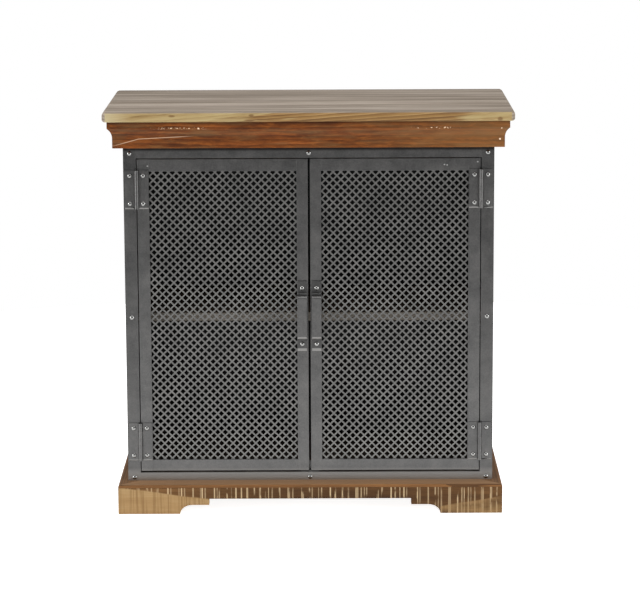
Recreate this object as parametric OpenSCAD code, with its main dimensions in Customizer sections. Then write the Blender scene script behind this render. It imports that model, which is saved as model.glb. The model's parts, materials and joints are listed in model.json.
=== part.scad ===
// Sideboard with two perforated steel doors, a solid wood top and a bracket-foot wood plinth.
// Millimetres, +Z up, +X to the right seen from the front, the front faces -Y.
// The origin is on the floor, at the middle of the width and of the depth.

/* [Overall] */
// Width over the top
width = 900; // [750:5:1200]
// Depth over the top
depth = 450; // [350:5:600]
// Height from the floor to the top
height = 900; // [720:5:1100]

/* [Wood top] */
// Thickness of the top
top_t = 22; // [18:1:30]
// How far the top reaches past the steel body at each side
side_overhang = 42.5; // [38:0.5:60]
// How far the top reaches past the steel body at the front
front_overhang = 43; // [38:0.5:60]
// How far the top reaches past the steel body at the back
back_overhang = 10; // [0:1:20]
// Width of the round on the top's upper edge
nose_w = 6; // [3:0.5:8]
// Height of the round on the top's upper edge
nose_h = 9; // [4:0.5:11]
// Radius of the round on the top's lower edge
under_r = 6; // [2:0.5:7]

/* [Cornice] */
// Height of the moulding under the top
cornice_h = 59; // [50:1:75]
// Height of its upright upper strip
fascia_h = 15; // [10:1:20]
// Height of its plain lower band
band_h = 22; // [15:1:24]
// How far the upper strip sits back from the top's edge
fascia_inset = 10.4; // [6:0.2:16]
// How far the lower band sits back from the top's edge
band_inset = 21.1; // [18:0.1:26]
// Thickness of the boards that stand behind the moulding
batten_t = 22; // [18:1:24]

/* [Wood plinth] */
// Height of the plinth with its cap
plinth_h = 67; // [55:1:90]
// How far the plinth sits in from the top's edge at each side
plinth_inset = 22; // [10:1:30]
// Thickness of the plinth's cap boards
cap_t = 7; // [6:0.5:12]
// Width of the plinth's cap boards
cap_w = 60; // [50:1:75]
// Radius of the round along the cap's outer edge
cap_r = 6; // [2:0.5:6]
// Thickness of the upright plinth boards
plinth_t = 20; // [16:1:25]
// Width of each foot at the front and the back
foot_w = 138; // [100:1:170]
// Width of each foot at the sides
side_foot_w = 92; // [70:1:110]
// Width of the hollow curve beside each foot
scoop_w = 27; // [15:1:35]
// Height of the hollow curve beside each foot
scoop_h = 20.5; // [12:0.5:24]
// Length of the level step between the curve and the rail
step_w = 38; // [20:1:50]
// Height of the rail's underside over the floor
arch_h = 34.5; // [28:0.5:40]
// Side of the square blocks glued inside the corners
block_w = 34; // [25:1:40]

/* [Steel frame] */
// Outer width of the angle section's legs at the corner posts
post_leg = 28; // [25:1:40]
// Thickness of the angle section
steel_t = 3; // [2:0.5:4]
// Height of the upper rails
top_rail_h = 25; // [22:1:40]
// Height of the lower front rail
bottom_rail_h = 18; // [16:1:30]
// Width of the rails' level legs
rail_leg = 22; // [20:1:30]
// Thickness of the side and back sheets
sheet_t = 1.5; // [1:0.1:2]

/* [Doors] */
// Gap between a door and the post it hangs on
hinge_gap = 2; // [1.5:0.5:4]
// Gap over the doors
head_gap = 2; // [1.5:0.5:4]
// Gap under the doors
foot_gap = 4; // [3:0.5:6]
// Gap between the two doors
centre_gap = 5; // [4:0.5:8]
// Width of the door's upright on the hinge side
hinge_stile_w = 26; // [24:0.5:35]
// Width of the door's upright beside the other door
meeting_stile_w = 24.5; // [24:0.5:35]
// Height of the door's upper rail
door_head_w = 27; // [24:0.5:40]
// Height of the door's lower rail
door_foot_w = 25.5; // [24:0.5:40]
// Depth of the door's frame from front to back
door_depth = 20; // [16:1:25]
// Width of the strips of the door's mesh
strand_w = 4; // [3:0.25:5]
// Side of the mesh's square holes
hole_w = 8; // [6:0.5:12]
// Thickness of one layer of the mesh
strand_t = 0.8; // [0.6:0.1:1]
// How far the mesh reaches behind the door's frame
mesh_lap = 7; // [6:0.5:7]
// Width and depth of the beads that hold the mesh
bead_w = 5.5; // [4:0.5:6]

/* [Hinges] */
// Height of a hinge leaf
hinge_h = 86; // [70:1:100]
// Distance from the door's end to the hinge's middle
hinge_inset = 67; // [60:1:90]
// Width of a leaf from the pin's axis
leaf_w = 26; // [22:0.5:27]
// Thickness of a leaf
leaf_t = 2; // [1.5:0.5:2.5]
// Outer radius of the knuckles
knuckle_r = 4.6; // [4.2:0.1:5]
// Radius of the hinge pin
pin_r = 2.5; // [2:0.1:3]
// Distance between the two rivets of a leaf
leaf_rivet_pitch = 62; // [45:1:70]

/* [Handles] */
// Width of the handle's strap
handle_w = 21; // [16:0.5:22]
// Thickness of the strap
handle_t = 3; // [2:0.5:4]
// Whole length of a handle
handle_len = 158; // [130:1:200]
// Length of the raised grip
grip_len = 98; // [80:1:130]
// How far the grip stands out from the door
grip_out = 24; // [18:1:30]
// Height of the handle's middle over the floor
handle_z = 441; // [350:1:600]
// Distance between the handle's two rivets
handle_rivet_pitch = 126; // [110:1:160]

/* [Shelf] */
// Thickness of the shelf
shelf_t = 20; // [15:1:25]
// Height of the shelf's underside over the floor
shelf_z = 420; // [300:5:600]
// Distance from the body's front to the shelf's front edge
shelf_setback = 50; // [35:5:120]
// Thickness of the floor board
floor_t = 15; // [12:1:15]

/* [Rivets and catches] */
// Diameter of a rivet's dome
rivet_d = 10.5; // [8:0.5:12]
// Height of a rivet's dome
rivet_h = 3.2; // [2:0.2:3.6]
// Diameter of a rivet's shank
shank_d = 5; // [4:0.5:5]
// Width of the magnet under the upper rail
magnet_w = 48; // [40:1:60]

/* [Hidden] */
$fn = 48;

planks = 4;
fit = 0.1;          // radial clearance of a rivet or screw in its hole
pin_fit = 0.05;     // radial clearance of a hinge pin in its knuckles
part_gap = 0.3;     // clearance between pieces that pass each other
tail_h = 1.5;       // height of the closed end of a rivet
tail_r = 3.5;       // radius of the closed end of a rivet
plate_t = 3;        // thickness of the joining plates and the shelf runners
bracket_t = 2;      // thickness of the catch brackets
magnet_t = 10;      // depth of the magnet
magnet_h = 14;      // height of the magnet
strike_w = 24;      // width of a strike plate
strike_h = 16;      // height of a strike plate
knuckles = 5;
knuckle_gap = 0.4;  // axial gap between two knuckles
screw_r = 2;        // radius of a top screw's shank
screw_len = 24;     // how deep a top screw goes into its board

front = -depth / 2;
back = depth / 2 - back_overhang;
half_top = width / 2;
half_body = width / 2 - side_overhang;
half_plinth = width / 2 - plinth_inset;
face = front + front_overhang;
body_z0 = plinth_h;
body_z1 = height - top_t - cornice_h;
cornice_back = min(side_overhang, front_overhang);
plank_w = depth / planks;
half_post = half_body - post_leg;       // inner edge of the posts' front legs

door_z0 = body_z0 + bottom_rail_h + foot_gap;
door_z1 = body_z1 - top_rail_h - head_gap;
door_x0 = centre_gap / 2;
door_x1 = half_post - hinge_gap;
door_back = face + door_depth;
open_x0 = door_x0 + meeting_stile_w;    // edges of the mesh that shows
open_x1 = door_x1 - hinge_stile_w;
open_z0 = door_z0 + door_foot_w;
open_z1 = door_z1 - door_head_w;
mesh_pitch = strand_w + hole_w;

axis_x = half_post - hinge_gap / 2;
axis_y = face - knuckle_r - part_gap;
hinge_zs = [door_z0 + hinge_inset, door_z1 - hinge_inset];
leaf_rivet_zs = [for (z = hinge_zs, s = [-1, 1]) z + s * leaf_rivet_pitch / 2];
post_rivet_x = half_body - post_leg / 2;
stile_rivet_x = door_x1 - hinge_stile_w / 2;
handle_x = open_x0 - handle_w / 2 - 0.5;
handle_rivet_zs = [for (s = [-1, 1]) handle_z + s * handle_rivet_pitch / 2];
upper_rivet_z = body_z1 - top_rail_h + 11;
lower_rivet_z = body_z0 + steel_t + tail_r + 0.6;
runner_leg = 30;                        // height of a shelf runner's upright leg
runner_seat = 25;                       // width of a shelf runner's level leg
runner_z = shelf_z - plate_t;
runner_rivet_z = shelf_z + 18.5;
post_rivets = concat([lower_rivet_z, upper_rivet_z, runner_rivet_z], leaf_rivet_zs);

liner = half_body - steel_t;            // inner face of the posts' side legs
inner_x = liner - sheet_t;              // inner face of the side sheets
inner_back = back - steel_t - sheet_t;  // inner face of the back sheet
behind = face + steel_t;                // back of the front legs
floor_y0 = behind + plate_t + tail_h + 0.5;

WOOD = "#a98a5f";
OLD_WOOD = "#8a552f";
DARK_WOOD = "#7a6048";
STEEL = "#6b6b69";
BRIGHT = "#a5a5a2";

// Points along an arc or a quarter of an ellipse, from angle a0 to a1.
function arc(c, r, a0, a1, n = 8) =
  [for (i = [0 : n]) let (a = a0 + (a1 - a0) * i / n) [c.x + r.x * cos(a), c.y + r.y * sin(a)]];

function unit(v) = v / norm(v);

// A bend of radius r at corner p, on the way from a to b.
function bend(a, p, b, r, n = 5) =
  let (
    u = unit(a - p), w = unit(b - p), half = acos(u * w) / 2,
    c = p + unit(u + w) * r / sin(half), reach = r / tan(half),
    d0 = p + u * reach - c, a0 = atan2(d0.y, d0.x),
    turn = sign(cross(p - a, b - p)) * (180 - 2 * half)
  ) arc(c, [r, r], a0, a0 + turn, n);

// A path with each inner corner bent to radius r.
function bent(p, r) =
  concat([p[0]], [for (i = [1 : len(p) - 2]) each bend(p[i - 1], p[i], p[i + 1], r)], [p[len(p) - 1]]);

// The outline of a strip of thickness t along a path.
function strip(p, t) =
  let (
    n = len(p) - 1,
    side = [for (i = [0 : n]) let (d = unit(p[min(i + 1, n)] - p[max(i - 1, 0)])) [-d.y, d.x] * t / 2]
  ) concat([for (i = [0 : n]) p[i] + side[i]], [for (i = [n : -1 : 0]) p[i] - side[i]]);

// Stands a Y-Z outline up and runs it along X, centred on x = 0.
module along_x(length) {
  rotate([90, 0, 90]) linear_extrude(length, center = true) children();
}

// Stands an X-Z outline up and runs it from y0 to y1.
module along_y(y0, y1) {
  translate([0, y1, 0]) rotate([90, 0, 0]) linear_extrude(y1 - y0) children();
}

module box(lo, hi) {
  translate(lo) cube(hi - lo);
}

module on_side(s) {
  if (s < 0) mirror([1, 0, 0]) children();
  else children();
}

// A hole along Y, through everything between y0 and y1.
module hole_y(x, z, r, y0, y1) {
  translate([x, y1, z]) rotate([90, 0, 0]) cylinder(r = r, h = y1 - y0);
}

// Seen from above, the wedge that a mitred board keeps: side 0 front, 1 right, 2 back, 3 left.
module mitre_zone(side, half_w, y0, y1, z0, z1) {
  reach = 100;
  corners = [[-half_w, y0], [half_w, y0], [half_w, y1], [-half_w, y1]];
  inner = [[1, 1], [-1, 1], [-1, -1], [1, -1]];
  a = corners[side];
  b = corners[(side + 1) % 4];
  translate([0, 0, z0]) linear_extrude(z1 - z0)
    polygon([a, b, b + inner[(side + 1) % 4] * reach, a + inner[side] * reach]);
}

// ---- wood top ----

// The rounded edge of the top, from its upper face to its lower face, for an edge at x = 0.
function nose() = concat(
  arc([nose_w, height - nose_h], [nose_w, nose_h], 90, 180),
  arc([under_r, height - top_t + under_r], [under_r, under_r], 180, 270));

module top_plank(i) {
  y0 = front + (i - 1) * plank_w;
  edge = nose();
  right = [for (k = [len(edge) - 1 : -1 : 0]) [half_top - edge[k].x, edge[k].y]];
  left = [for (p = edge) [p.x - half_top, p.y]];
  color(WOOD)
    if (i == 1)
      intersection() {
        along_y(front, y0 + plank_w) polygon(concat(left, right));
        along_x(width) polygon(concat([for (p = edge) [front + p.x, p.y]],
          [[y0 + plank_w, height - top_t], [y0 + plank_w, height]]));
      }
    else
      along_y(y0, y0 + plank_w) polygon(concat(left, right));
}

// The moulding's outline: x is the distance in from the top's edge.
function moulding() =
  let (
    z1 = height - top_t, z0 = z1 - cornice_h, cove_z0 = z0 + band_h, rise = z1 - fascia_h - cove_z0,
    run = band_inset - fascia_inset, r = (rise * rise + run * run) / (2 * run)
  ) concat(
    [[fascia_inset, z1]],
    arc([band_inset - r, cove_z0], [r, r], asin(rise / r), 0),
    [[band_inset, z0], [cornice_back, z0], [cornice_back, z1]]);

module cornice_side(s) {
  color(OLD_WOOD) intersection() {
    along_y(front, back) polygon([for (p = moulding()) [s * (half_top - p.x), p.y]]);
    mitre_zone(s > 0 ? 1 : 3, half_top, front, depth * 2, body_z1 - 1, height);
  }
}

module cornice_front() {
  color(OLD_WOOD) intersection() {
    along_x(width) polygon([for (p = moulding()) [front + p.x, p.y]]);
    mitre_zone(0, half_top, front, depth, body_z1 - 1, height);
  }
}

batten_x = half_top - cornice_back;
batten_y0 = front + cornice_back;
screw_xy = concat(
  [for (s = [-1, 1]) [s * width / 4.5, batten_y0 + batten_t / 2]],
  [for (s = [-1, 1]) [s * width / 4.5, back - batten_t / 2]],
  [for (s = [-1, 1], y = [-1, 1]) [s * (batten_x - batten_t / 2), y * depth / 4.5]]);

module top_battens() {
  z1 = height - top_t;
  color(OLD_WOOD) difference() {
    union() {
      box([-batten_x, batten_y0, body_z1], [batten_x, batten_y0 + batten_t, z1]);
      box([-batten_x, back - batten_t, body_z1], [batten_x, back, z1]);
      for (s = [-1, 1]) on_side(s)
        box([batten_x - batten_t, batten_y0 + batten_t + fit, body_z1],
            [batten_x, back - batten_t - fit, z1]);
    }
    for (p = screw_xy)
      translate([p.x, p.y, body_z1 - 1]) cylinder(r = screw_r + fit, h = screw_len + 2);
  }
}

module top_screws() {
  head_r = 4;
  head_h = 2.5;
  under = body_z1 - steel_t;
  color(BRIGHT) for (p = screw_xy) translate([p.x, p.y, under]) rotate_extrude()
    polygon(concat(arc([0, 0], [head_r, head_h], -90, 0, 4),
      [[screw_r, 0], [screw_r, steel_t + screw_len - 4], [0, steel_t + screw_len]]));
}

// ---- wood plinth ----

// Half the outline of a board with bracket feet; half is half its length, foot the width of its foot.
function foot_side(half, foot) =
  let (foot_in = half - foot) concat(
    [[half, 0], [foot_in, 0]],
    arc([foot_in - scoop_w, 0], [scoop_w, scoop_h], 0, 90),
    [[foot_in - scoop_w - step_w, scoop_h], [foot_in - scoop_w - step_w, arch_h]]);

function foot_board(half, foot) =
  let (r = foot_side(half, foot), n = len(r) - 1) concat(
    r, [for (i = [n : -1 : 0]) [-r[i].x, r[i].y]],
    [[-half, plinth_h - cap_t], [half, plinth_h - cap_t]]);

plinth_mid = (front + back) / 2;
plinth_half_depth = (back - front) / 2;

module plinth_long(y0, side) {
  color(DARK_WOOD) intersection() {
    along_y(y0, y0 + plinth_t) polygon(foot_board(half_plinth, foot_w));
    mitre_zone(side, half_plinth, front, back, -1, plinth_h);
  }
}

module plinth_side(s) {
  color(DARK_WOOD) intersection() {
    translate([s * (half_plinth - plinth_t / 2), plinth_mid, 0])
      along_x(plinth_t) polygon(foot_board(plinth_half_depth, side_foot_w));
    mitre_zone(s > 0 ? 1 : 3, half_plinth, front, back, -1, plinth_h);
  }
}

// The cap's outline: x is the distance in from the plinth's edge.
function cap_edge() = concat(
  arc([cap_r, plinth_h - cap_r], [cap_r, cap_r], 90, 180),
  [[0, plinth_h - cap_t], [cap_w, plinth_h - cap_t], [cap_w, plinth_h]]);

module cap_front() {
  color(OLD_WOOD) intersection() {
    along_x(width) polygon([for (p = cap_edge()) [front + p.x, p.y]]);
    mitre_zone(0, half_plinth, front, back, 0, plinth_h + 1);
  }
}

module cap_back() {
  color(OLD_WOOD) intersection() {
    along_x(width) polygon([for (p = cap_edge()) [back - p.x, p.y]]);
    mitre_zone(2, half_plinth, front, back, 0, plinth_h + 1);
  }
}

module cap_side(s) {
  color(OLD_WOOD) intersection() {
    along_y(front, back) polygon([for (p = cap_edge()) [s * (half_plinth - p.x), p.y]]);
    mitre_zone(s > 0 ? 1 : 3, half_plinth, front, back, 0, plinth_h + 1);
  }
}

module plinth_blocks() {
  lift = 8;
  x1 = half_plinth - plinth_t;
  color(WOOD) for (s = [-1, 1]) on_side(s) {
    box([x1 - block_w, front + plinth_t, lift], [x1, front + plinth_t + block_w, plinth_h - cap_t]);
    box([x1 - block_w, back - plinth_t - block_w, lift], [x1, back - plinth_t, plinth_h - cap_t]);
  }
}

// ---- steel frame ----

module post(s, y_face, dir, holes) {
  y_leg = y_face + dir * post_leg;
  y_in = y_face + dir * steel_t;
  color(STEEL) on_side(s) difference() {
    union() {
      box([half_post, min(y_face, y_in), body_z0], [half_body, max(y_face, y_in), body_z1]);
      box([liner, min(y_face, y_leg), body_z0], [half_body, max(y_face, y_leg), body_z1]);
    }
    for (z = holes)
      hole_y(post_rivet_x, z, shank_d / 2 + fit, y_face - 1, y_in + 1);
  }
}

module screw_holes() {
  for (p = screw_xy)
    translate([p.x, p.y, body_z1 - 2 * steel_t]) cylinder(r = screw_r + fit, h = 3 * steel_t);
}

// A rail of angle section between the posts: z0 to z1 is its upright leg, flat_z its level leg.
module long_rail(y_face, dir, z0, z1, flat_z) {
  y_in = y_face + dir * steel_t;
  y_leg = y_face + dir * (steel_t + rail_leg);
  box([-half_post, min(y_face, y_in), z0], [half_post, max(y_face, y_in), z1]);
  box([-half_post, min(y_face, y_leg), flat_z], [half_post, max(y_face, y_leg), flat_z + steel_t]);
}

module front_top_rail() {
  color(STEEL) difference() {
    long_rail(face, 1, body_z1 - top_rail_h, body_z1, body_z1 - steel_t);
    hole_y(0, upper_rivet_z, shank_d / 2 + fit, face - 1, behind + 1);
    screw_holes();
  }
}

module front_bottom_rail() {
  color(STEEL) difference() {
    long_rail(face, 1, body_z0, body_z0 + bottom_rail_h, body_z0);
    hole_y(0, lower_rivet_z, shank_d / 2 + fit, face - 1, behind + 1);
  }
}

module back_rails() {
  color(STEEL) difference() {
    union() {
      long_rail(back, -1, body_z1 - top_rail_h, body_z1, body_z1 - steel_t);
      long_rail(back, -1, body_z0, body_z0 + top_rail_h, body_z0);
    }
    screw_holes();
  }
}

module side_rails() {
  y0 = face + post_leg;
  y1 = back - post_leg;
  color(STEEL) difference() {
    for (s = [-1, 1]) on_side(s) {
      box([liner, y0, body_z0], [half_body, y1, body_z0 + top_rail_h]);
      box([liner - rail_leg, y0, body_z0], [half_body, y1, body_z0 + steel_t]);
      box([liner, y0, body_z1 - top_rail_h], [half_body, y1, body_z1]);
      box([liner - rail_leg, y0, body_z1 - steel_t], [half_body, y1, body_z1]);
    }
    screw_holes();
  }
}

// Plates behind the front corners, riveted to the posts and welded to the rails.
module corner_plates() {
  x0 = half_post - 30;
  x1 = inner_x - 0.5;
  z_low = body_z0 + steel_t;
  z_high = body_z1 - steel_t;
  color(STEEL) for (s = [-1, 1]) on_side(s) difference() {
    union() {
      box([x0, behind, z_low], [x1, behind + plate_t, body_z0 + bottom_rail_h]);
      box([x0, behind, body_z1 - top_rail_h], [x1, behind + plate_t, z_high]);
    }
    for (z = [lower_rivet_z, upper_rivet_z])
      hole_y(post_rivet_x, z, shank_d / 2 + fit, behind - 1, behind + plate_t + 1);
  }
}

module side_panel(s) {
  color(STEEL) on_side(s)
    box([inner_x, behind, body_z0 + steel_t], [liner, back - steel_t, body_z1 - steel_t]);
}

module back_panel() {
  color(STEEL)
    box([-inner_x, inner_back, body_z0 + steel_t], [inner_x, back - steel_t, body_z1 - steel_t]);
}

module floor_board() {
  color(WOOD)
    box([1 - inner_x, floor_y0, body_z0 + steel_t], [inner_x - 1, inner_back - 1, body_z0 + steel_t + floor_t]);
}

module shelf() {
  x1 = inner_x - plate_t - 1;
  color(WOOD) box([-x1, face + shelf_setback, shelf_z], [x1, inner_back - 1, shelf_z + shelf_t]);
}

module shelf_runner(s) {
  x1 = inner_x;
  y1 = inner_back - 1;
  color(STEEL) on_side(s) difference() {
    union() {
      box([x1 - plate_t, behind, runner_z], [x1, y1, runner_z + runner_leg]);
      box([x1 - runner_seat, behind, runner_z], [x1, y1, runner_z + plate_t]);
      box([half_post + 3, behind, runner_z], [x1, behind + plate_t, runner_z + runner_leg]);
    }
    hole_y(post_rivet_x, runner_rivet_z, shank_d / 2 + fit, behind - 1, behind + plate_t + 1);
  }
}

// ---- rivets and catches ----

// A rivet along Y: its dome stands out from y, and grip is the thickness that it holds.
module rivet(x, y, z, grip) {
  translate([x, y, z]) rotate([-90, 0, 0]) rotate_extrude()
    polygon(concat(arc([0, 0], [rivet_d / 2, rivet_h], -90, 0, 6),
      [[shank_d / 2, 0], [shank_d / 2, grip], [tail_r, grip], [tail_r - 0.5, grip + tail_h], [0, grip + tail_h]]));
}

module frame_rivets() {
  color(BRIGHT) {
    for (s = [-1, 1]) on_side(s) {
      for (z = [lower_rivet_z, upper_rivet_z, runner_rivet_z])
        rivet(post_rivet_x, face, z, steel_t + plate_t);
      for (z = leaf_rivet_zs)
        rivet(post_rivet_x, face - leaf_t, z, leaf_t + steel_t);
    }
    for (z = [lower_rivet_z, upper_rivet_z])
      rivet(0, face, z, steel_t + bracket_t);
  }
}

// The upper bracket carries the magnet, and the lower one is a plain stop behind the doors.
module catch_brackets() {
  bracket_w = 40;
  y_plate = behind + bracket_t / 2;
  y_mag = door_back + part_gap + magnet_t + bracket_t / 2;
  y_stop = door_back + part_gap + bracket_t / 2;
  z_top = body_z1 - steel_t - 1;
  z_turn = body_z1 - top_rail_h + bracket_t / 2;
  z_floor = body_z0 + steel_t + floor_t + part_gap + bracket_t / 2;
  upper = bent([[y_plate, z_top], [y_plate, z_turn], [y_mag, z_turn], [y_mag, z_turn - magnet_h - 7]], 1.5);
  lower = bent([[y_plate, body_z0 + steel_t + 0.3], [y_plate, z_floor], [y_stop, z_floor], [y_stop, z_floor + 20]], 1.5);
  color(STEEL) difference() {
    along_x(bracket_w) {
      polygon(strip(upper, bracket_t));
      polygon(strip(lower, bracket_t));
    }
    for (z = [lower_rivet_z, upper_rivet_z])
      hole_y(0, z, shank_d / 2 + fit, behind - 1, behind + bracket_t + 1);
  }
}

module catch_magnet() {
  z1 = door_z1 - 4;
  y0 = door_back + part_gap;
  color("#3c3c3a") box([-magnet_w / 2, y0, z1 - magnet_h], [magnet_w / 2, y0 + magnet_t, z1]);
}

// ---- hinges ----

// Height of the lower end of knuckle k, in a hinge whose middle is at z = 0.
function knuckle_z(k) = -hinge_h / 2 + k * hinge_h / knuckles + knuckle_gap / 2;

// One leaf of a right-hand hinge. dir is 1 for the leaf on the post and -1 for the one on the door.
module leaf(dir, own, hole_x) {
  kh = hinge_h / knuckles - knuckle_gap;
  plate_x = knuckle_r + 0.7;
  y0 = face - leaf_t;
  difference() {
    union() {
      box([min(dir * plate_x, dir * leaf_w), y0, -hinge_h / 2], [max(dir * plate_x, dir * leaf_w), face, hinge_h / 2]);
      for (k = own) {
        translate([0, axis_y, knuckle_z(k)]) cylinder(r = knuckle_r, h = kh);
        box([min(0, dir * (plate_x + 1)), y0, knuckle_z(k)], [max(0, dir * (plate_x + 1)), face, knuckle_z(k) + kh]);
      }
    }
    translate([0, axis_y, -hinge_h]) cylinder(r = pin_r + pin_fit, h = 2 * hinge_h);
    for (s = [-1, 1])
      hole_y(hole_x, s * leaf_rivet_pitch / 2, shank_d / 2 + fit, y0 - 1, face + 1);
  }
}

module hinge_leaves(s) {
  color(STEEL) on_side(s) for (z = hinge_zs)
    translate([axis_x, 0, z]) leaf(1, [0, 2, 4], post_rivet_x - axis_x);
}

module door_leaves(s) {
  color(STEEL) on_side(s) for (z = hinge_zs)
    translate([axis_x, 0, z]) leaf(-1, [1, 3], stile_rivet_x - axis_x);
}

module hinge_pins() {
  color(BRIGHT) for (s = [-1, 1], z = hinge_zs)
    translate([s * axis_x, axis_y, z - hinge_h / 2]) cylinder(r = pin_r, h = hinge_h);
}

// ---- doors, each drawn on the right and mirrored for the left ----

module hinge_stile(s) {
  color(STEEL) on_side(s) difference() {
    union() {
      box([open_x1, face, door_z0], [door_x1, behind, door_z1]);
      box([door_x1 - steel_t, face, door_z0], [door_x1, door_back, door_z1]);
    }
    for (z = leaf_rivet_zs)
      hole_y(stile_rivet_x, z, shank_d / 2 + fit, face - 1, behind + 1);
  }
}

module meeting_stile(s) {
  color(STEEL) on_side(s) difference() {
    union() {
      box([door_x0, face, door_z0], [open_x0, behind, door_z1]);
      box([door_x0, face, door_z0], [door_x0 + steel_t, door_back, door_z1]);
    }
    for (z = handle_rivet_zs)
      hole_y(handle_x, z, shank_d / 2 + fit, face - 1, behind + 1);
  }
}

// The rails' front legs stand between the stiles, and their level legs reach behind the stiles.
module door_rail(s, z0, z1, level_z) {
  color(STEEL) on_side(s) {
    box([open_x0, face, z0], [open_x1, behind, z1]);
    box([open_x0, face, level_z], [open_x1, door_back, level_z + steel_t]);
    box([door_x0 + steel_t, behind, level_z], [door_x1 - steel_t, door_back, level_z + steel_t]);
  }
}

// One layer of the mesh: parallel strips at 45 degrees, cut to the sheet's outline.
module mesh_layer(lean) {
  w = open_x1 - open_x0 + 2 * mesh_lap;
  h = open_z1 - open_z0 + 2 * mesh_lap;
  step = mesh_pitch * sqrt(2);
  n = ceil((w + h) / 2 / step);
  shortest = 12;
  intersection() {
    square([w, h], center = true);
    for (k = [-n : n])
      if (min(w / 2, h / 2 + k * step) - max(-w / 2, k * step - h / 2) > shortest)
        translate([lean * k * step, 0]) rotate(lean * 45)
          square([2 * (w + h), strand_w], center = true);
  }
}

module mesh(s) {
  layer_gap = 0.02;
  color(BRIGHT) on_side(s) for (i = [0, 1])
    translate([(open_x0 + open_x1) / 2, behind + strand_t + i * (strand_t + layer_gap), (open_z0 + open_z1) / 2])
      rotate([90, 0, 0]) linear_extrude(strand_t) mesh_layer(1 - 2 * i);
}

module beads(s) {
  y0 = behind + 2 * strand_t + 0.1;
  y1 = y0 + bead_w;
  out = bead_w + 0.5;
  color(STEEL) on_side(s) {
    box([open_x0 - out, y0, open_z0 - out], [open_x0 - 0.5, y1, open_z1 + out]);
    box([open_x1 + 0.5, y0, open_z0 - out], [open_x1 + out, y1, open_z1 + out]);
    box([open_x0 - 0.4, y0, open_z0 - out], [open_x1 + 0.4, y1, open_z0 - 0.5]);
    box([open_x0 - 0.4, y0, open_z1 + 0.5], [open_x1 + 0.4, y1, open_z1 + out]);
  }
}

module handle(s) {
  y_foot = face - handle_t / 2;
  y_grip = face - grip_out - handle_t / 2;
  arm = grip_len / 2 - handle_t / 2;
  path = bent([[y_foot, -handle_len / 2], [y_foot, -arm], [y_grip, -arm], [y_grip, arm], [y_foot, arm],
    [y_foot, handle_len / 2]], 5);
  color(STEEL) on_side(s) difference() {
    translate([handle_x, 0, handle_z]) along_x(handle_w) polygon(strip(path, handle_t));
    for (z = handle_rivet_zs)
      hole_y(handle_x, z, shank_d / 2 + fit, face - handle_t - 1, face + 1);
  }
}

module door_rivets(s) {
  color(BRIGHT) on_side(s) {
    for (z = leaf_rivet_zs)
      rivet(stile_rivet_x, face - leaf_t, z, leaf_t + steel_t);
    for (z = handle_rivet_zs)
      rivet(handle_x, face - handle_t, z, handle_t + steel_t);
  }
}

// The plate that the magnet holds, welded into the door's upper corner.
module strike(s) {
  x0 = door_x0 + steel_t;
  z1 = door_z1 - steel_t;
  color(BRIGHT) on_side(s) box([x0, door_back - 2, z1 - strike_h], [x0 + strike_w, door_back, z1]);
}

top_plank(1);  // top_plank_1
top_plank(2);  // top_plank_2
top_plank(3);  // top_plank_3
top_plank(4);  // top_plank_4
cornice_front();
cornice_side(-1);  // cornice_left
cornice_side(1);  // cornice_right
top_battens();
top_screws();
post(-1, face, 1, post_rivets);  // post_front_left
post(1, face, 1, post_rivets);  // post_front_right
post(-1, back, -1, []);  // post_back_left
post(1, back, -1, []);  // post_back_right
front_top_rail();
front_bottom_rail();
back_rails();
side_rails();
corner_plates();
side_panel(-1);  // side_panel_left
side_panel(1);  // side_panel_right
back_panel();
floor_board();
shelf();
shelf_runner(-1);  // shelf_runner_left
shelf_runner(1);  // shelf_runner_right
plinth_long(front, 0);  // plinth_front
plinth_side(-1);  // plinth_left
plinth_side(1);  // plinth_right
plinth_long(back - plinth_t, 2);  // plinth_back
cap_front();  // plinth_cap_front
cap_side(-1);  // plinth_cap_left
cap_side(1);  // plinth_cap_right
cap_back();  // plinth_cap_back
plinth_blocks();
frame_rivets();
catch_brackets();
catch_magnet();
hinge_leaves(-1);  // hinge_leaves_left
hinge_leaves(1);  // hinge_leaves_right
hinge_pins();
hinge_stile(-1);  // left_hinge_stile
meeting_stile(-1);  // left_meeting_stile
door_rail(-1, open_z1, door_z1, door_z1 - steel_t);  // left_top_rail
door_rail(-1, door_z0, open_z0, door_z0);  // left_bottom_rail
mesh(-1);  // left_mesh
beads(-1);  // left_beads
handle(-1);  // left_handle
door_rivets(-1);  // left_rivets
strike(-1);  // left_strike
door_leaves(-1);  // left_door_leaves
hinge_stile(1);  // right_hinge_stile
meeting_stile(1);  // right_meeting_stile
door_rail(1, open_z1, door_z1, door_z1 - steel_t);  // right_top_rail
door_rail(1, door_z0, open_z0, door_z0);  // right_bottom_rail
mesh(1);  // right_mesh
beads(1);  // right_beads
handle(1);  // right_handle
door_rivets(1);  // right_rivets
strike(1);  // right_strike
door_leaves(1);  // right_door_leaves
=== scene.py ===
import json
import math

import bmesh
import bpy
from mathutils import Matrix, Vector


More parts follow.
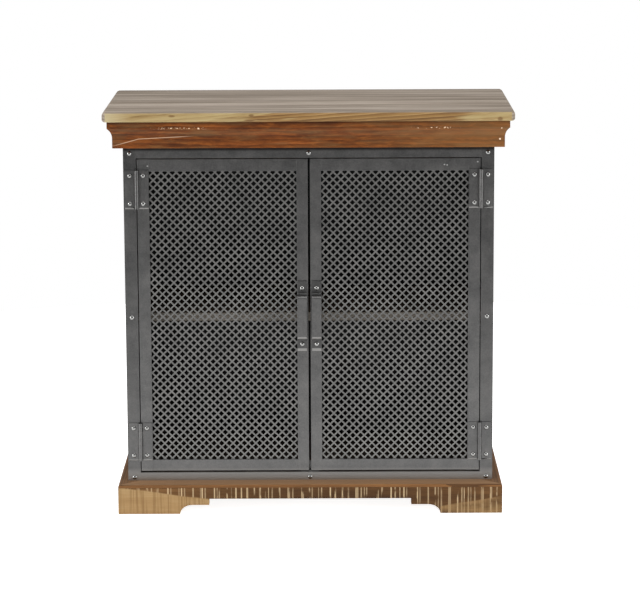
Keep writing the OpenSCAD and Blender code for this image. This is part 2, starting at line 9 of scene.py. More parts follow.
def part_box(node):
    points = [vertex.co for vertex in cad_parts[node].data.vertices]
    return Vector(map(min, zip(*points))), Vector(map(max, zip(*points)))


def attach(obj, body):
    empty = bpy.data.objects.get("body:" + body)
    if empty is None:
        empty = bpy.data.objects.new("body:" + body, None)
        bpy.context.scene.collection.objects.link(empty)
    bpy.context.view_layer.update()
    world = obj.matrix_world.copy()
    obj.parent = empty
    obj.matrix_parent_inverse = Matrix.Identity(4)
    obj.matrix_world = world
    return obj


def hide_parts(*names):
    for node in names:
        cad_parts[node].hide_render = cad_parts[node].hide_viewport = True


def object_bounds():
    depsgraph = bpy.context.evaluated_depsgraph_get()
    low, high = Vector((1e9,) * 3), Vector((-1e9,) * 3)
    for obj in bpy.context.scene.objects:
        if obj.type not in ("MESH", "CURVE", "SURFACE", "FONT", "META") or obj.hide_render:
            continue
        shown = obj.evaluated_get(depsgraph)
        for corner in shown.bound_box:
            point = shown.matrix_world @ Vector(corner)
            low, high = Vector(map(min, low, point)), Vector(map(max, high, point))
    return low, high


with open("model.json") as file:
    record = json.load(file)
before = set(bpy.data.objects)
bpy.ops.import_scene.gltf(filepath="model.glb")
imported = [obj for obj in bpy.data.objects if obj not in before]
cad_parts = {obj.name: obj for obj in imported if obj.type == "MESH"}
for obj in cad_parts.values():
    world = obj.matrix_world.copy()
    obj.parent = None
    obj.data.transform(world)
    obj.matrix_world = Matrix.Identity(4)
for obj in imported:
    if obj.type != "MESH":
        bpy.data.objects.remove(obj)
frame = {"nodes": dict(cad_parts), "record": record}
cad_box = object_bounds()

MM = 0.001
LOW, HIGH = cad_box
scene = bpy.context.scene
scene.view_settings.view_transform = "Standard"


# ---- camera, floor and light ----

def look_from_the_front():
    """A long lens, a little above the top and looking slightly down."""
    data = bpy.data.cameras.new("camera")
    data.lens = 154.8
    data.sensor_width = 36
    data.clip_end = 60
    camera = bpy.data.objects.new("camera", data)
    pitch, yaw, roll = math.radians(10.53), math.radians(0.15), math.radians(-0.25)
    turn = (Matrix.Rotation(yaw, 4, "Z") @ Matrix.Rotation(math.pi / 2 - pitch, 4, "X")
            @ Matrix.Rotation(roll, 4, "Z"))
    camera.matrix_world = Matrix.Translation((0.0393, -6.1728, 1.5925)) @ turn
    scene.collection.objects.link(camera)
    scene.camera = camera


def colour(hex_value):
    """An sRGB hex value as a linear colour with alpha."""
    parts = [int(hex_value[i:i + 2], 16) / 255 for i in (1, 3, 5)]
    return tuple(c / 12.92 if c <= 0.04045 else ((c + 0.055) / 1.055) ** 2.4 for c in parts) + (1,)


def add(tree, kind, inputs=(), stops=(), **settings):
    """Adds a node. Its inputs are given by name, or in the order of the sockets in use. Each is a number, a
    colour, the socket that feeds it, or a node, whose first output in use feeds it."""
    made = tree.nodes.new("ShaderNode" + kind)
    for key, value in settings.items():
        setattr(made, key, value)
    for number, (place, tone) in enumerate(stops):
        ramp = made.color_ramp.elements
        element = ramp[number] if number < len(ramp) else ramp.new(place)
        element.position = place
        element.color = colour(tone) if isinstance(tone, str) else (tone, tone, tone, 1)
    if isinstance(inputs, dict):
        pairs = [(made.inputs[name], value) for name, value in inputs.items()]
    else:
        pairs = list(zip([s for s in made.inputs if s.enabled], inputs))
    for socket, value in pairs:
        if isinstance(value, bpy.types.Node):
            value = next(s for s in value.outputs if s.enabled)
        if isinstance(value, bpy.types.NodeSocket):
            tree.links.new(value, socket)
        else:
            socket.default_value = value
    return made


def new_material(name):
    """An empty material and its node tree."""
    material = bpy.data.materials.new(name)
    material.use_nodes = True
    material.node_tree.nodes.clear()
    return material, material.node_tree


def area_light(name, place, target, size, power):
    """A softbox that faces its target."""
    data = bpy.data.lights.new(name, "AREA")
    data.shape = "RECTANGLE"
    data.size, data.size_y = size
    data.energy = power
    lamp = bpy.data.objects.new(name, data)
    lamp.location = place
    lamp.rotation_mode = "QUATERNION"
    lamp.rotation_quaternion = (Vector(target) - Vector(place)).to_track_quat("-Z", "Y")
    scene.collection.objects.link(lamp)


def studio():
    """A white table lit from below, a tall softbox at each side, a broad one overhead, a white surround."""
    bm = bmesh.new()
    bmesh.ops.create_circle(bm, cap_ends=True, segments=96, radius=2.4)
    mesh = bpy.data.meshes.new("floor")
    bm.to_mesh(mesh)
    bm.free()
    floor = bpy.data.objects.new("floor", mesh)
    scene.collection.objects.link(floor)
    acrylic, tree = new_material("opal_acrylic_table")
    span = add(tree, "VectorMath", (add(tree, "TexCoord").outputs["Object"],), operation="LENGTH")
    glow = add(tree, "MapRange", (span, 0.25, 1.2, 0.88, 0.7))
    shade = add(tree, "BsdfPrincipled", {"Base Color": colour("#f6f6f6"), "Roughness": 0.9,
                                         "Emission Color": colour("#ffffff"), "Emission Strength": glow})
    add(tree, "OutputMaterial", {"Surface": shade})
    mesh.materials.append(acrylic)

    middle = (0, 0, 0.5)
    area_light("left_softbox", (-3.2, -2.0, 1.1), middle, (1.5, 2.1), 98)
    area_light("right_softbox", (3.2, -2.0, 1.1), middle, (1.5, 2.1), 86)
    area_light("overhead_softbox", (0, -0.6, 3.4), (0, 0, 0), (3.0, 2.4), 72)

    world = bpy.data.worlds.new("studio")
    scene.world = world
    world.use_nodes = True
    tree = world.node_tree
    tree.nodes.clear()
    height = add(tree, "SeparateXYZ", (add(tree, "TexCoord").outputs["Generated"],)).outputs["Z"]
    tone = add(tree, "ValToRGB", (height,), stops=[(0.0, 0.2), (0.6, 0.5)])
    room = add(tree, "Background", {"Color": tone, "Strength": 1.0})
    white = add(tree, "Background", {"Color": colour("#ffffff"), "Strength": 1.0})
    back = add(tree, "MixShader", (add(tree, "LightPath").outputs["Is Camera Ray"], room, white))
    add(tree, "OutputWorld", {"Surface": back})


# ---- materials: every length in them is in millimetres ----

PLANK = 112.5  # width of one plank of the top
BACK = 225.0  # from the middle to the back of the top
PITH = (0, 30, -55)  # where the middle of the tree lies beside a board


def along_grain(tree, axis, shift=(0, 0, 0)):
    """Object coordinates in millimetres, turned so that x runs along the grain."""
    turn = {"X": (0, 0, 0), "Y": (0, 0, -math.pi / 2)}[axis]
    return add(tree, "Mapping", {"Vector": add(tree, "TexCoord").outputs["Object"], "Rotation": turn,
                                 "Scale": (1 / MM,) * 3, "Location": shift})


def streaks(tree, coords, size, **fineness):
    """Soft noise whose lumps have this size along, into and up the board."""
    scaled = add(tree, "Mapping", {"Vector": coords, "Scale": [1 / length for length in size]})
    return add(tree, "TexNoise", {"Vector": scaled, "Scale": 1, **fineness})


def near(tree, value, centre, none_at, full_at):
    """0 where the value is none_at away from the centre, and 1 where it is full_at away."""
    away = add(tree, "Math", (value, centre), operation="SUBTRACT")
    return add(tree, "MapRange", (add(tree, "Math", (away,), operation="ABSOLUTE"), none_at, full_at))


def spot(tree, coords, centre, length, height):
    """1 inside a small oval that is longer along the grain, and 0 outside it."""
    size = (length, height, height)
    close = add(tree, "Mapping", {"Vector": coords, "Location": [-c / s for c, s in zip(centre, size)],
                                  "Scale": [1 / s for s in size]})
    return add(tree, "MapRange", (add(tree, "VectorMath", (close,), operation="LENGTH"), 1.0, 0.55))


def stain(tree, tone, mask, over, amount=1.0):
    """Lays a hex colour, or another tone, over a tone where the mask says."""
    over = colour(over) if isinstance(over, str) else over
    factor = add(tree, "Math", (mask, amount), operation="MULTIPLY")
    return add(tree, "Mix", (factor, tone, over), data_type="RGBA")


def wood_look(tree, coords, tones, ring=6, contrast=0.55, fibre=28, profile="SAW", wander=0.05,
              figure=(260, 24)):
    """Growth rings, fibres and slow changes of tone, from a light, a middle and a dark tone. Ring is a ring's
    width, fibre a fibre's length, and figure the size of a slow change. Returns a colour and a height."""
    near_pith = add(tree, "Mapping", {"Vector": coords, "Location": PITH, "Scale": (wander, 1, 1)})
    rings = add(tree, "TexWave", {"Vector": near_pith, "Scale": 0.314 / ring, "Distortion": 9, "Detail": 3,
                                  "Detail Scale": 0.6, "Detail Roughness": 0.5},
                wave_type="RINGS", rings_direction="X", wave_profile=profile).outputs["Fac"]
    fibres = streaks(tree, coords, (fibre, 1.1, 1.1), Detail=4, Roughness=0.65)
    slow = streaks(tree, coords, (figure[0], figure[1], figure[1]), Detail=4, Roughness=0.6)
    total = add(tree, "Math", (rings, contrast, slow), operation="MULTIPLY_ADD")
    total = add(tree, "Math", (fibres, 0.5, total), operation="MULTIPLY_ADD")
    level = add(tree, "MapRange", (total, 0.5, 1.0 + contrast / 2))
    return add(tree, "ValToRGB", (level,), stops=list(zip((0, 0.45, 1), tones))), fibres


def finish_wood(tree, tone, height, roughness, depth=0.25, sheen=0.3):
    """A waxed or lacquered wood surface: a soft sheen, with the fibres standing a little proud."""
    rough = add(tree, "MapRange", {"Value": height, "To Min": roughness - 0.08, "To Max": roughness + 0.1})
    bump = add(tree, "Bump", {"Height": height, "Strength": 0.5, "Distance": depth * MM})
    shade = add(tree, "BsdfPrincipled", {"Base Color": tone, "Roughness": rough, "Normal": bump, "IOR": 1.45,
                                         "Specular IOR Level": sheen})
    add(tree, "OutputMaterial", {"Surface": shade})


def plain_wood(name, tones, axis, shift, roughness=0.5, sheen=0.3, rubbed=0.0):
    """An oiled or waxed board with an even grain. Rubbed is how much paler its upper face is: worn, and
    painted with light from above.
    """
    material, tree = new_material(name)
    tone, height = wood_look(tree, along_grain(tree, axis, shift), tones)
    up = add(tree, "SeparateXYZ", (add(tree, "NewGeometry").outputs["Normal"],)).outputs["Z"]
    # the upper face made paler: wear, and painted light from above
    tone = stain(tree, tone, add(tree, "MapRange", (up, 0.8, 0.97)), "#a8896a", rubbed)
    finish_wood(tree, tone, height, roughness, sheen=sheen)
    return material


def weathered_pine():
    """Old softwood planks, each with its own grain. The face is worn grey-brown, with dirt along the joints,
    and it is darker along the back edge. The nosing is freshly cut, so it shows honey-yellow sapwood,
    browner heart and knots."""
    material, tree = new_material("weathered_pine")
    coords = along_grain(tree, "X")
    x, y, _ = add(tree, "SeparateXYZ", (coords,)).outputs
    plank = add(tree, "Math", (y, 1 / PLANK, 2.0), operation="MULTIPLY_ADD")
    plank = add(tree, "Math", (plank,), operation="FLOOR")
    jump = add(tree, "CombineXYZ", (add(tree, "Math", (plank, 431.0), operation="MULTIPLY"),))
    moved = add(tree, "VectorMath", (coords, jump), operation="ADD")
    face, height = wood_look(tree, moved, ("#a89c90", "#918578", "#726658"), ring=7, contrast=0.4,
                             profile="SIN")
    own_tone = add(tree, "TexWhiteNoise", (plank,), noise_dimensions="1D")
    face = stain(tree, face, own_tone, "#6a6056", 0.28)

    # dirt beside the joints, a darker band along the back edge, and the dark glue lines themselves
    from_joint = add(tree, "Math", (y, BACK), operation="ADD")
    from_joint = add(tree, "Math", (from_joint, PLANK / 2), operation="PINGPONG")
    patchy = add(tree, "MapRange", (streaks(tree, coords, (200, 60, 60)), 0.42, 0.6))
    dirt = add(tree, "Math", (add(tree, "MapRange", (from_joint, 9.0, 1.0)), patchy), operation="MULTIPLY")
    face = stain(tree, face, dirt, "#54493f", 0.45)
    face = stain(tree, face, add(tree, "MapRange", (y, 212.0, 221.0)), "#544b43", 0.55)
    face = stain(tree, face, add(tree, "MapRange", (from_joint, 1.1, 0.4)), "#3a3028", 0.7)

    # the nosing: sapwood, with heartwood right of the middle, a pale left end and a few knots
    tilted = add(tree, "Mapping", {"Vector": coords, "Rotation": (0, math.radians(4), 0)})
    sap, _ = wood_look(tree, tilted, ("#a1966d", "#96835a", "#816a42"), ring=9, contrast=0.2)
    heart, _ = wood_look(tree, tilted, ("#9b8056", "#83643a", "#5c4020"), ring=8, contrast=0.6, wander=0.09)
    ragged = streaks(tree, tilted, (130, 9, 9), Detail=2)
    middle = near(tree, x, 105.0, 330.0, 110.0)
    heart_part = add(tree, "Math", (middle, 0.42, ragged), operation="MULTIPLY_ADD")
    edge = stain(tree, sap, add(tree, "MapRange", (heart_part, 0.62, 0.74)), heart)
    edge = stain(tree, edge, add(tree, "MapRange", (x, -385.0, -440.0)), "#b3aa8a", 0.5)
    for knot, length, height_of_knot in (((-297, -225, 892), 9, 3), ((-124, -225, 893), 7, 3.5),
                                         ((-128, -225, 882), 14, 2.5), ((417, -225, 883), 7, 6)):
        edge = stain(tree, edge, spot(tree, coords, knot, length, height_of_knot), "#5f4222", 0.75)

    # the worn look covers the upper face and the ends
    sideways, _, up = add(tree, "SeparateXYZ", (add(tree, "NewGeometry").outputs["Normal"],)).outputs
    end_grain = near(tree, sideways, 0.0, 0.25, 0.5)
    worn = add(tree, "Math", (add(tree, "MapRange", (up, 0.5, 0.7)), end_grain), operation="MAXIMUM")
    finish_wood(tree, stain(tree, edge, worn, face), height, 0.55)
    return material


def waxed_hardwood(name, axis, shift, fade=0.0, contrast=0.35):
    """Planed red-brown hardwood under old wax: blotched, dull in the cove, with a painted shadow under the
    top, paler to the right, with a few pale chips along the fascia, two nail holes and a scratch left by use."""
    material, tree = new_material(name)
    coords = along_grain(tree, axis, shift)
    here = along_grain(tree, "X")
    x, y, z = add(tree, "SeparateXYZ", (here,)).outputs
    tone, height = wood_look(tree, coords, ("#834a22", "#673611", "#40200a"), ring=10, contrast=contrast,
                             fibre=14, wander=0.13, figure=(110, 16))
    # dark blotches, and patches rubbed paler between them
    blotch = streaks(tree, coords, (34, 7, 7), Detail=4, Roughness=0.65, Distortion=0.6)
    tone = stain(tree, tone, add(tree, "MapRange", (blotch, 0.5, 0.7)), "#3a1b08", 0.5)
    tone = stain(tree, tone, add(tree, "MapRange", (blotch, 0.48, 0.32)), "#92541f", 0.35)
    # the dull cove, the paler right-hand side, a painted shadow line under the top, and the nail holes
    cove = near(tree, z, 852.0, 12.0, 6.0)
    dull = add(tree, "Math", (cove, 0.08, streaks(tree, coords, (70, 10, 10), Detail=3)),
               operation="MULTIPLY_ADD")
    tone = stain(tree, tone, add(tree, "MapRange", (dull, 0.5, 0.75)), "#63482a", 0.55)
    tone = stain(tree, tone, add(tree, "MapRange", (x, 60.0, 380.0)), "#825f38", fade)
    # painted shadow of the top's overhang, along the upper edge of the moulding
    tone = stain(tree, tone, add(tree, "MapRange", (z, 872.5, 877.5)), "#2e1708", 0.6)
    for nail_hole in ((421, -214, 861), (418, -204, 837)):
        tone = stain(tree, tone, spot(tree, here, nail_hole, 2.4, 2.4), "#e6cfb4")

    # chips, in two stretches of one line along the moulding
    row = near(tree, z, 863.4, 2.4, 1.0)
    left, right = near(tree, x, -280.0, 66.0, 50.0), near(tree, x, 275.0, 60.0, 20.0)
    chipped = add(tree, "Math", (row, add(tree, "Math", (left, right), operation="MAXIMUM")),
                  operation="MULTIPLY")
    chips = add(tree, "MapRange", (streaks(tree, here, (4, 4, 2.6), Detail=1), 0.58, 0.64))
    chipped = add(tree, "Math", (chipped, chips), operation="MULTIPLY")

    # a scratch near the left end, which climbs and then runs along
    rise = add(tree, "Math", (x, 0.05, 846.2), operation="MULTIPLY_ADD")
    path = add(tree, "Math", (add(tree, "MapRange", (x, -425.0, -371.0)), 12.0, rise),
               operation="MULTIPLY_ADD")
    off_line = add(tree, "Math", (z, path), operation="SUBTRACT")
    scratch = add(tree, "Math", (near(tree, off_line, 0.0, 1.1, 0.3), near(tree, x, -345.0, 95.0, 60.0)),
                  operation="MULTIPLY")
    pale = add(tree, "Math", (chipped, add(tree, "Math", (scratch, 0.5), operation="MULTIPLY")),
               operation="MAXIMUM")
    on_front = add(tree, "MapRange", (y, -180.0, -190.0))
    pale = add(tree, "Math", (pale, on_front), operation="MULTIPLY")
    finish_wood(tree, stain(tree, tone, pale, "#dcc0a0"), height, 0.5, sheen=0.17)
    return material


def saw_marked_board(name, axis):
    """A rough-sawn board: dark brown, crossed by broken cream saw marks, with pale sapwood at its feet."""
    material, tree = new_material(name)
    coords = along_grain(tree, axis)
    x, _, z = add(tree, "SeparateXYZ", (coords,)).outputs
    brown, height = wood_look(tree, coords, ("#6e4e2d", "#50361c", "#362210"), ring=8, contrast=0.4)
    # two sets of upright saw marks, each mark with its own strength, and all of them broken up
    marks = None
    for pitch, width, offset in ((15.0, 0.13, 3.7), (24.0, 0.05, 11.3)):
        along = add(tree, "Math", (x, 1 / pitch, offset), operation="MULTIPLY_ADD")
        cell = add(tree, "TexVoronoi", {"W": along, "Scale": 1, "Randomness": 0.75},
                   voronoi_dimensions="1D")
        chance = add(tree, "SeparateXYZ", (cell.outputs["Color"],))
        strength = add(tree, "Math", (chance, 0.6, 0.4), operation="MULTIPLY_ADD")
        mark = add(tree, "Math", (add(tree, "MapRange", (cell, width, width / 2)), strength),
                   operation="MULTIPLY")
        marks = mark if marks is None else add(tree, "Math", (marks, mark), operation="MAXIMUM")
    broken = add(tree, "MapRange", (streaks(tree, coords, (9, 40, 30), Detail=3), 0.37, 0.5))
    marks = add(tree, "Math", (marks, broken), operation="MULTIPLY")
    brown = stain(tree, brown, marks, "#b09a78", 0.8)

    pale, _ = wood_look(tree, coords, ("#8e7653", "#876c48", "#7c613f"), ring=14, contrast=0.0)
    fine_marks = add(tree, "MapRange", (streaks(tree, coords, (4.2, 40, 150), Detail=2), 0.48, 0.68))
    pale = stain(tree, pale, fine_marks, "#664b2b", 0.6)

    # the sapwood has a ragged, sloping upper edge, and it is patchy on the right
    ragged = streaks(tree, coords, (90, 25, 25), Detail=3)
    left = add(tree, "Math", (x, -0.14, 57.5 - 0.14 * 392), operation="MULTIPLY_ADD")
    right = add(tree, "Math", (x, 0.16, 17.0 - 0.16 * 290), operation="MULTIPLY_ADD")
    top_of_sap = add(tree, "Math", (left, right), operation="MAXIMUM")
    top_of_sap = add(tree, "Math", (ragged, 8.0, top_of_sap), operation="MULTIPLY_ADD")
    under = add(tree, "Math", (top_of_sap, z), operation="SUBTRACT")
    at_feet = near(tree, x, 35.0, 252.0, 258.0)
    sap = add(tree, "Math", (add(tree, "MapRange", (under, 3.0, 6.0)), at_feet), operation="MULTIPLY")
    patchy = add(tree, "MapRange", (ragged, 0.3, 0.75))
    lost = add(tree, "Math", (add(tree, "MapRange", (x, -20.0, 20.0)), patchy), operation="MULTIPLY")
    kept = add(tree, "Math", (1.0, lost), operation="SUBTRACT")
    sap = add(tree, "Math", (sap, kept), operation="MULTIPLY")
    finish_wood(tree, stain(tree, brown, sap, pale), height, 0.6, depth=0.4, sheen=0.15)
    return material


def bare_edged_board():
    """A board whose faces are painted dark, as painted shade inside the cabinet, with its front edge bare and
    grey.
    """
    material, tree = new_material("board_with_painted_shade")
    coords = along_grain(tree, "X", (0, 40, 0))
    bare, height = wood_look(tree, coords, ("#7e7872", "#6e6860", "#565048"))
    dark, _ = wood_look(tree, coords, ("#463a2e", "#382e25", "#29211a"))
    forward = add(tree, "SeparateXYZ", (add(tree, "NewGeometry").outputs["Normal"],)).outputs["Y"]
    # the faces painted dark as painted shade; only the front edge keeps the bare grey tone
    finish_wood(tree, stain(tree, dark, add(tree, "MapRange", (forward, -0.4, -0.7)), bare), height, 0.6)
    return material


def dark_steel(name, tones, roughness, weld_spots=(), floor_glint_and_cornice_shadow=False, lower_edges=None, inside=None, feet=0.0):
    """Mild steel with a rubbed dark patina under lacquer: soft reflections, cloudy and finely mottled.
    Given a tone for lower edges, it paints the faces that face down with it: a painted reflection of the
    bright floor. Given a tone for the inside, it paints the face towards the shelves with it: painted shade.
    Feet is how much darker the feet of a handle are: painted shade behind the grip, and the dullness of steel
    that hands never polish. The bottom can be painted brighter, a painted reflection of the bright floor,
    together with a painted shadow under the cornice."""
    material, tree = new_material(name)
    coords = along_grain(tree, "X")
    _, y, z = add(tree, "SeparateXYZ", (coords,)).outputs
    cloud = streaks(tree, coords, (60, 60, 60), Detail=6, Roughness=0.75)
    mottle = streaks(tree, coords, (3.5, 3.5, 3.5), Detail=4, Roughness=0.7)
    level = add(tree, "Math", (mottle, 0.5), operation="SUBTRACT")
    level = add(tree, "Math", (level, 0.65, cloud), operation="MULTIPLY_ADD")
    tone = add(tree, "ValToRGB", (level,), stops=list(zip((0.25, 0.75), tones)))
    for centre in weld_spots:
        tone = stain(tree, tone, spot(tree, coords, centre, 2.2, 1.8), "#b8b8b6")
    flat = add(tree, "NewGeometry").outputs["True Normal"]
    _, forward, up = add(tree, "SeparateXYZ", (flat,)).outputs
    # painted reflection of the bright floor on the faces that face down
    if lower_edges:
        tone = stain(tree, tone, add(tree, "MapRange", (up, -0.08, -0.16)), lower_edges)
    # painted shade on the face towards the shelves
    if inside:
        tone = stain(tree, tone, add(tree, "MapRange", (forward, -0.4, -0.6)), inside)
    # painted shade on the feet of a handle, behind its grip, with the dullness of steel that hands never
    # polish; faces that face down are left out
    if feet:
        dull = add(tree, "Math", (add(tree, "MapRange", (y, -200.0, -190.0)),
                                  add(tree, "MapRange", (up, -0.15, -0.05))), operation="MULTIPLY")
        tone = stain(tree, tone, dull, "#262626", feet)
    if floor_glint_and_cornice_shadow:
        # painted reflection of the bright floor, brightening the lower rail and the feet of the posts
        tone = stain(tree, tone, add(tree, "MapRange", (z, 96.0, 74.0)), "#a3a09c", 0.55)
        tone = stain(tree, tone, add(tree, "MapRange", (z, 76.0, 68.0)), "#c4c0bb", 0.45)
        # painted shadow under the cornice
        tone = stain(tree, tone, add(tree, "MapRange", (z, 808.5, 813.5)), "#1d1814", 0.8)
    rough = add(tree, "MapRange", (level, 0.25, 0.75, roughness - 0.06, roughness + 0.06))
    bump = add(tree, "Bump", {"Height": mottle, "Strength": 0.3, "Distance": 0.06 * MM})
    shade = add(tree, "BsdfPrincipled", {"Base Color": tone, "Metallic": 1.0, "Roughness": rough,
                                         "Normal": bump})
    add(tree, "OutputMaterial", {"Surface": shade})
    return material


# The top: four old pine planks.
PINE = weathered_pine()
# The cornice: a red hardwood moulding, with a stronger grain on its short sides.
RED_X = waxed_hardwood("waxed_red_hardwood", "X", (0, 0, 40), fade=0.35)
RED_Y = waxed_hardwood("waxed_red_hardwood_side", "Y", (90, 0, 20), contrast=0.6)
# The plinth's cap: brown hardwood with very little shine, its upper face paler from wear and from painted
# light from above, most on the front and back caps.
CAP_TONES = ("#815a35", "#6a4829", "#48301b")
CAP_X = plain_wood("hardwood_cap_worn_and_toplit", CAP_TONES, "X", (520, 0, 0), sheen=0.15, rubbed=0.36)
CAP_Y = plain_wood("hardwood_cap_worn_and_toplit_side", CAP_TONES, "Y", (60, 0, 0), sheen=0.15, rubbed=0.1)
# The plinth's boards, straight from the saw.
SAWN_X = saw_marked_board("saw_marked_board", "X")
SAWN_Y = saw_marked_board("saw_marked_board_side", "Y")
# Inside: the shelf and floor, their faces painted dark as painted shade, and plain oiled blocks that nobody
# sees.
SHELF = bare_edged_board()
INNER = plain_wood("oiled_board", ("#a08a70", "#8b7459", "#6b543c"), "X", (0, 40, 0), 0.6)
# Steel: welded angle and bar, which has the smoothest patina; pressed sheet, rougher; straps and handles with
# sloped lower ends, their downward faces painted with a reflection of the bright floor and the handles' feet
# with painted shade; turned rivet heads, polished bright; the back sheet, its inner face painted dark as
# painted shade; and a black magnet housing inside.
WELD_SPOTS = ((-354, -182, 777), (371, -182, 784), (298, -182, 778), (304, -182, 777))
POST_STEEL = dark_steel("patinated_steel_post", ("#4a4a4a", "#656463"), 0.41, floor_glint_and_cornice_shadow=True)
FRAME_STEEL = dark_steel("patinated_steel", ("#4e4e4e", "#6b6a69"), 0.41, WELD_SPOTS, floor_glint_and_cornice_shadow=True)
MESH_STEEL = dark_steel("patinated_sheet", ("#5c5c5b", "#787775"), 0.5)
STRAP_STEEL = dark_steel("strap_steel_floor_reflection", ("#4e4e4e", "#686766"), 0.43, lower_edges="#777674")
HANDLE_STEEL = dark_steel("rubbed_handle_steel_with_painted_light", ("#505050", "#6b6a69"), 0.43, lower_edges="#777674", feet=0.42)
DOME_STEEL = dark_steel("polished_rivet_steel", ("#7c7c7b", "#929290"), 0.13)
BACK_STEEL = dark_steel("back_sheet_shaded_inside", ("#4a4a4a", "#646362"), 0.5, inside="#242424")
MAGNET = dark_steel("magnet_housing", ("#242424", "#303030"), 0.6)


# ---- pieces ----

def merged(node):
    """A CAD node's shape with its triangles joined into whole faces."""
    bm = bmesh.new()
    bm.from_mesh(frame["nodes"][node].data)
    bmesh.ops.remove_doubles(bm, verts=bm.verts, dist=0.01 * MM)
    bmesh.ops.dissolve_limit(bm, angle_limit=math.radians(0.5), verts=bm.verts, edges=bm.edges)
    return bm


def body_of(node):
    """The body that a CAD node moves with."""
    return next(body for body, nodes in frame["record"]["behaviour"]["bodies"].items() if node in nodes)


def piece(name, bm, material, node, sharp=35):
    """Makes a finished piece from a shape. It rides with, and stands for, one CAD node."""
    mesh = bpy.data.meshes.new(name)
    bm.to_mesh(mesh)
    bm.free()
    mesh.materials.append(material)
    mesh.shade_smooth()
    mesh.set_sharp_from_angle(angle=math.radians(sharp))
    made = bpy.data.objects.new(name, mesh)
    scene.collection.objects.link(made)
    even = made.modifiers.new("even_flats", "WEIGHTED_NORMAL")
    even.keep_sharp = True
    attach(made, body_of(node))
    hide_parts(node)
    return made


def ease(bm, width):
    """Rounds every edge where the surface turns by more than 25 degrees."""
    edges = [e for e in bm.edges if e.is_manifold and e.calc_face_angle(0) > math.radians(25)]
    bmesh.ops.bevel(bm, geom=edges, offset=width, offset_type="OFFSET", affect="EDGES", segments=2,
                    profile=0.5, clamp_overlap=True, material=-1)


def round_corners(bm, radius, steps=5):
    """Rounds the top's corners in plan, by drawing each corner's square in to a quarter circle."""
    for k in range(1, steps + 1):
        inset = Vector((1, 1, 0)) * radius * k / steps
        for corner in (LOW + inset, HIGH - inset):
            for axis in ((1, 0, 0), (0, 1, 0)):
                bmesh.ops.bisect_plane(bm, geom=bm.verts[:] + bm.edges[:] + bm.faces[:], plane_co=corner,
                                       plane_no=axis)
    for v in bm.verts:
        side = Vector((math.copysign(1, v.co.x), math.copysign(1, v.co.y)))
        centre = Vector((HIGH.x - radius, HIGH.y - radius)) * side
        out = (v.co.xy - centre) * side
        if min(out) > 0:
            v.co.xy = centre + out.normalized() * max(out) * side


def file_back(bm, depth, rise):
    """Files a slope on the lower front edge of each strap: depth is how far it goes in, and rise how much
    higher than that it reaches on the front."""
    ends = [e for e in bm.edges if e.is_manifold and e.calc_length() > 15 * MM
            and min(f.normal.y for f in e.link_faces) < -0.9
            and min(f.normal.z for f in e.link_faces) < -0.9]
    cut = bmesh.ops.bevel(bm, geom=ends, offset=depth, offset_type="OFFSET", affect="EDGES", segments=1,
                          profile=0.5, clamp_overlap=False, material=-1)
    front = {v for f in cut["faces"] for v in f.verts
             if v.co.y < min(w.co.y for w in f.verts) + 0.01 * MM}
    bmesh.ops.translate(bm, verts=list(front), vec=(0, 0, rise))


def eased(node, material, width, lower_edges=0, rise=2, corners=0):
    """A CAD node with its edges rounded to this width. The depth and rise of the slope on the lower edges
    shape the lower ends of straps, and corners is the radius of the top's corners in plan."""
    bm = merged(node)
    if corners:
        round_corners(bm, corners * MM)
    if lower_edges:
        file_back(bm, lower_edges * MM, rise * MM)
    ease(bm, width * MM)
    return piece(node + "_eased", bm, material, node)


def perforated_sheet(side):
    """One sheet with 8.5 mm square holes on a 12 mm pitch, turned 45 degrees, cut to fit the door."""
    node = side + "_mesh"
    low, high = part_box(node)
    middle = (low + high) / 2
    pitch, strand, thickness = 12 * MM, 3.5 * MM, 1.0 * MM
    cells = int((high.x - low.x + high.z - low.z) / math.sqrt(2) / pitch) + 4
    cells += cells % 2
    bm = bmesh.new()
    bmesh.ops.create_grid(bm, x_segments=2 * cells, y_segments=2 * cells, size=cells * pitch / 2)

    def settle(value):
        """Moves an evenly spaced line to the nearest strand's edge."""
        k = round(value / (pitch / 2))
        return (k + 1) // 2 * pitch + (strand / 2 if k % 2 == 0 else -strand / 2)

    for v in bm.verts:
        v.co.x, v.co.y = settle(v.co.x), settle(v.co.y)
    holes = [f for f in bm.faces if min(e.calc_length() for e in f.edges) > 1.5 * strand]
    bmesh.ops.delete(bm, geom=holes, context="FACES")
    turn = (Matrix.Translation((middle.x, low.y, middle.z)) @ Matrix.Rotation(math.pi / 2, 4, "X")
            @ Matrix.Rotation(math.pi / 4, 4, "Z"))
    bmesh.ops.transform(bm, matrix=turn, verts=bm.verts)
    for corner, axis in ((low, (-1, 0, 0)), (high, (1, 0, 0)), (low, (0, 0, -1)), (high, (0, 0, 1))):
        geom = bm.verts[:] + bm.edges[:] + bm.faces[:]
        bmesh.ops.bisect_plane(bm, geom=geom, plane_co=corner, plane_no=axis, clear_outer=True)
    bmesh.ops.recalc_face_normals(bm, faces=bm.faces)
    thick = bmesh.ops.extrude_face_region(bm, geom=bm.faces[:])
    moved = [g for g in thick["geom"] if isinstance(g, bmesh.types.BMVert)]
    bmesh.ops.translate(bm, verts=moved, vec=(0, thickness, 0))
    bmesh.ops.recalc_face_normals(bm, faces=bm.faces)
    return piece(side + "_perforated_sheet", bm, MESH_STEEL, node)


def islands(node):
    """The lowest and highest corner of each separate solid of a CAD node."""
    bm = bmesh.new()
    bm.from_mesh(frame["nodes"][node].data)
    bmesh.ops.remove_doubles(bm, verts=bm.verts, dist=0.01 * MM)
    seen, found = set(), []
    for start in bm.verts:
        if start in seen:
            continue
        seen.add(start)
        reached = [start]
        for v in reached:  # grows as neighbours are found
            new = [n for n in (e.other_vert(v) for e in v.link_edges) if n not in seen]
            seen.update(new)
            reached += new
        found.append((Vector([min(v.co[i] for v in reached) for i in range(3)]),
                      Vector([max(v.co[i] for v in reached) for i in range(3)])))
    bm.free()
    return found


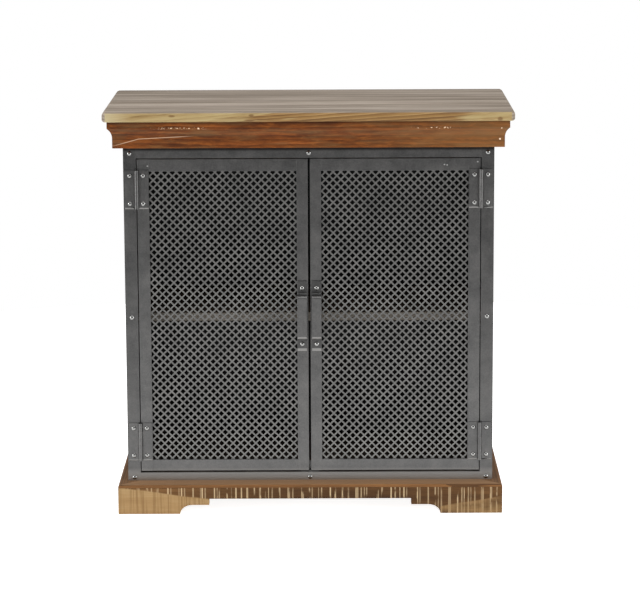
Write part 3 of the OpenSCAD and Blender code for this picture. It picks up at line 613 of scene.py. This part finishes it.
def rivets(node):
    """Round-headed rivets, turned from a smooth profile, one for each CAD rivet: a dome in front, a shank
    through the plates and a low tail behind."""
    dome, shank, tail, tail_height, chamfer = 3.2 * MM, 2.5 * MM, 3.5 * MM, 1.5 * MM, 0.5 * MM
    bm = bmesh.new()
    for low, high in islands(node):
        middle = (low + high) / 2
        radius = (high.x - low.x) / 2
        length = high.y - low.y - dome
        quarter = [math.pi / 2 * i / 8 for i in range(9)]
        profile = [(radius * math.sin(a), -dome * math.cos(a)) for a in quarter]
        profile += [(shank, 0), (shank, length - tail_height), (tail, length - tail_height),
                    (tail - chamfer, length), (0, length)]
        verts = [bm.verts.new((middle.x + r, low.y + dome + y, middle.z)) for r, y in profile]
        edges = [bm.edges.new(pair) for pair in zip(verts, verts[1:])]
        bmesh.ops.spin(bm, geom=verts + edges, cent=middle, axis=(0, 1, 0), angle=2 * math.pi, steps=24,
                       use_merge=True)
    bmesh.ops.remove_doubles(bm, verts=bm.verts, dist=0.005 * MM)
    bmesh.ops.recalc_face_normals(bm, faces=bm.faces)
    return piece(node + "_turned", bm, DOME_STEEL, node, sharp=45)


def paint(nodes, material):
    """Gives CAD nodes whose shape stays their finish."""
    for node in nodes:
        mesh = frame["nodes"][node].data
        mesh.materials.clear()
        mesh.materials.append(material)


# ---- build ----

look_from_the_front()
studio()

for number in range(1, 5):
    eased(f"top_plank_{number}", PINE, 0.6, corners=12)
eased("cornice_front", RED_X, 0.7)
for side in ("left", "right"):
    eased("cornice_" + side, RED_Y, 0.7)
paint(["top_battens"], RED_X)
for side, cap in (("front", CAP_X), ("back", CAP_X), ("left", CAP_Y), ("right", CAP_Y)):
    eased("plinth_cap_" + side, cap, 0.8)
for side, board in (("front", SAWN_X), ("back", SAWN_X), ("left", SAWN_Y), ("right", SAWN_Y)):
    eased("plinth_" + side, board, 1.0)
paint(["plinth_blocks"], INNER)
eased("shelf", SHELF, 1.5)
paint(["floor_board"], SHELF)

for corner in ("front_left", "front_right", "back_left", "back_right"):
    eased("post_" + corner, POST_STEEL, 0.5)
for node in ("front_top_rail", "front_bottom_rail", "back_rails", "side_rails"):
    eased(node, FRAME_STEEL, 0.5)
paint(["back_panel"], BACK_STEEL)
paint(["corner_plates", "side_panel_left", "side_panel_right", "shelf_runner_left",
       "shelf_runner_right", "catch_brackets"], FRAME_STEEL)
paint(["catch_magnet"], MAGNET)
paint(["top_screws", "hinge_pins"], DOME_STEEL)

for side in ("left", "right"):
    for part in ("hinge_stile", "meeting_stile", "top_rail", "bottom_rail"):
        eased(f"{side}_{part}", FRAME_STEEL, 0.5)
    paint([side + "_beads", side + "_strike"], FRAME_STEEL)
    perforated_sheet(side)
    eased(side + "_handle", HANDLE_STEEL, 0.5, lower_edges=1.4, rise=5)
    eased(side + "_door_leaves", STRAP_STEEL, 0.3, lower_edges=1.2)
    eased("hinge_leaves_" + side, STRAP_STEEL, 0.3, lower_edges=1.2)
    rivets(side + "_rivets")
rivets("frame_rivets")
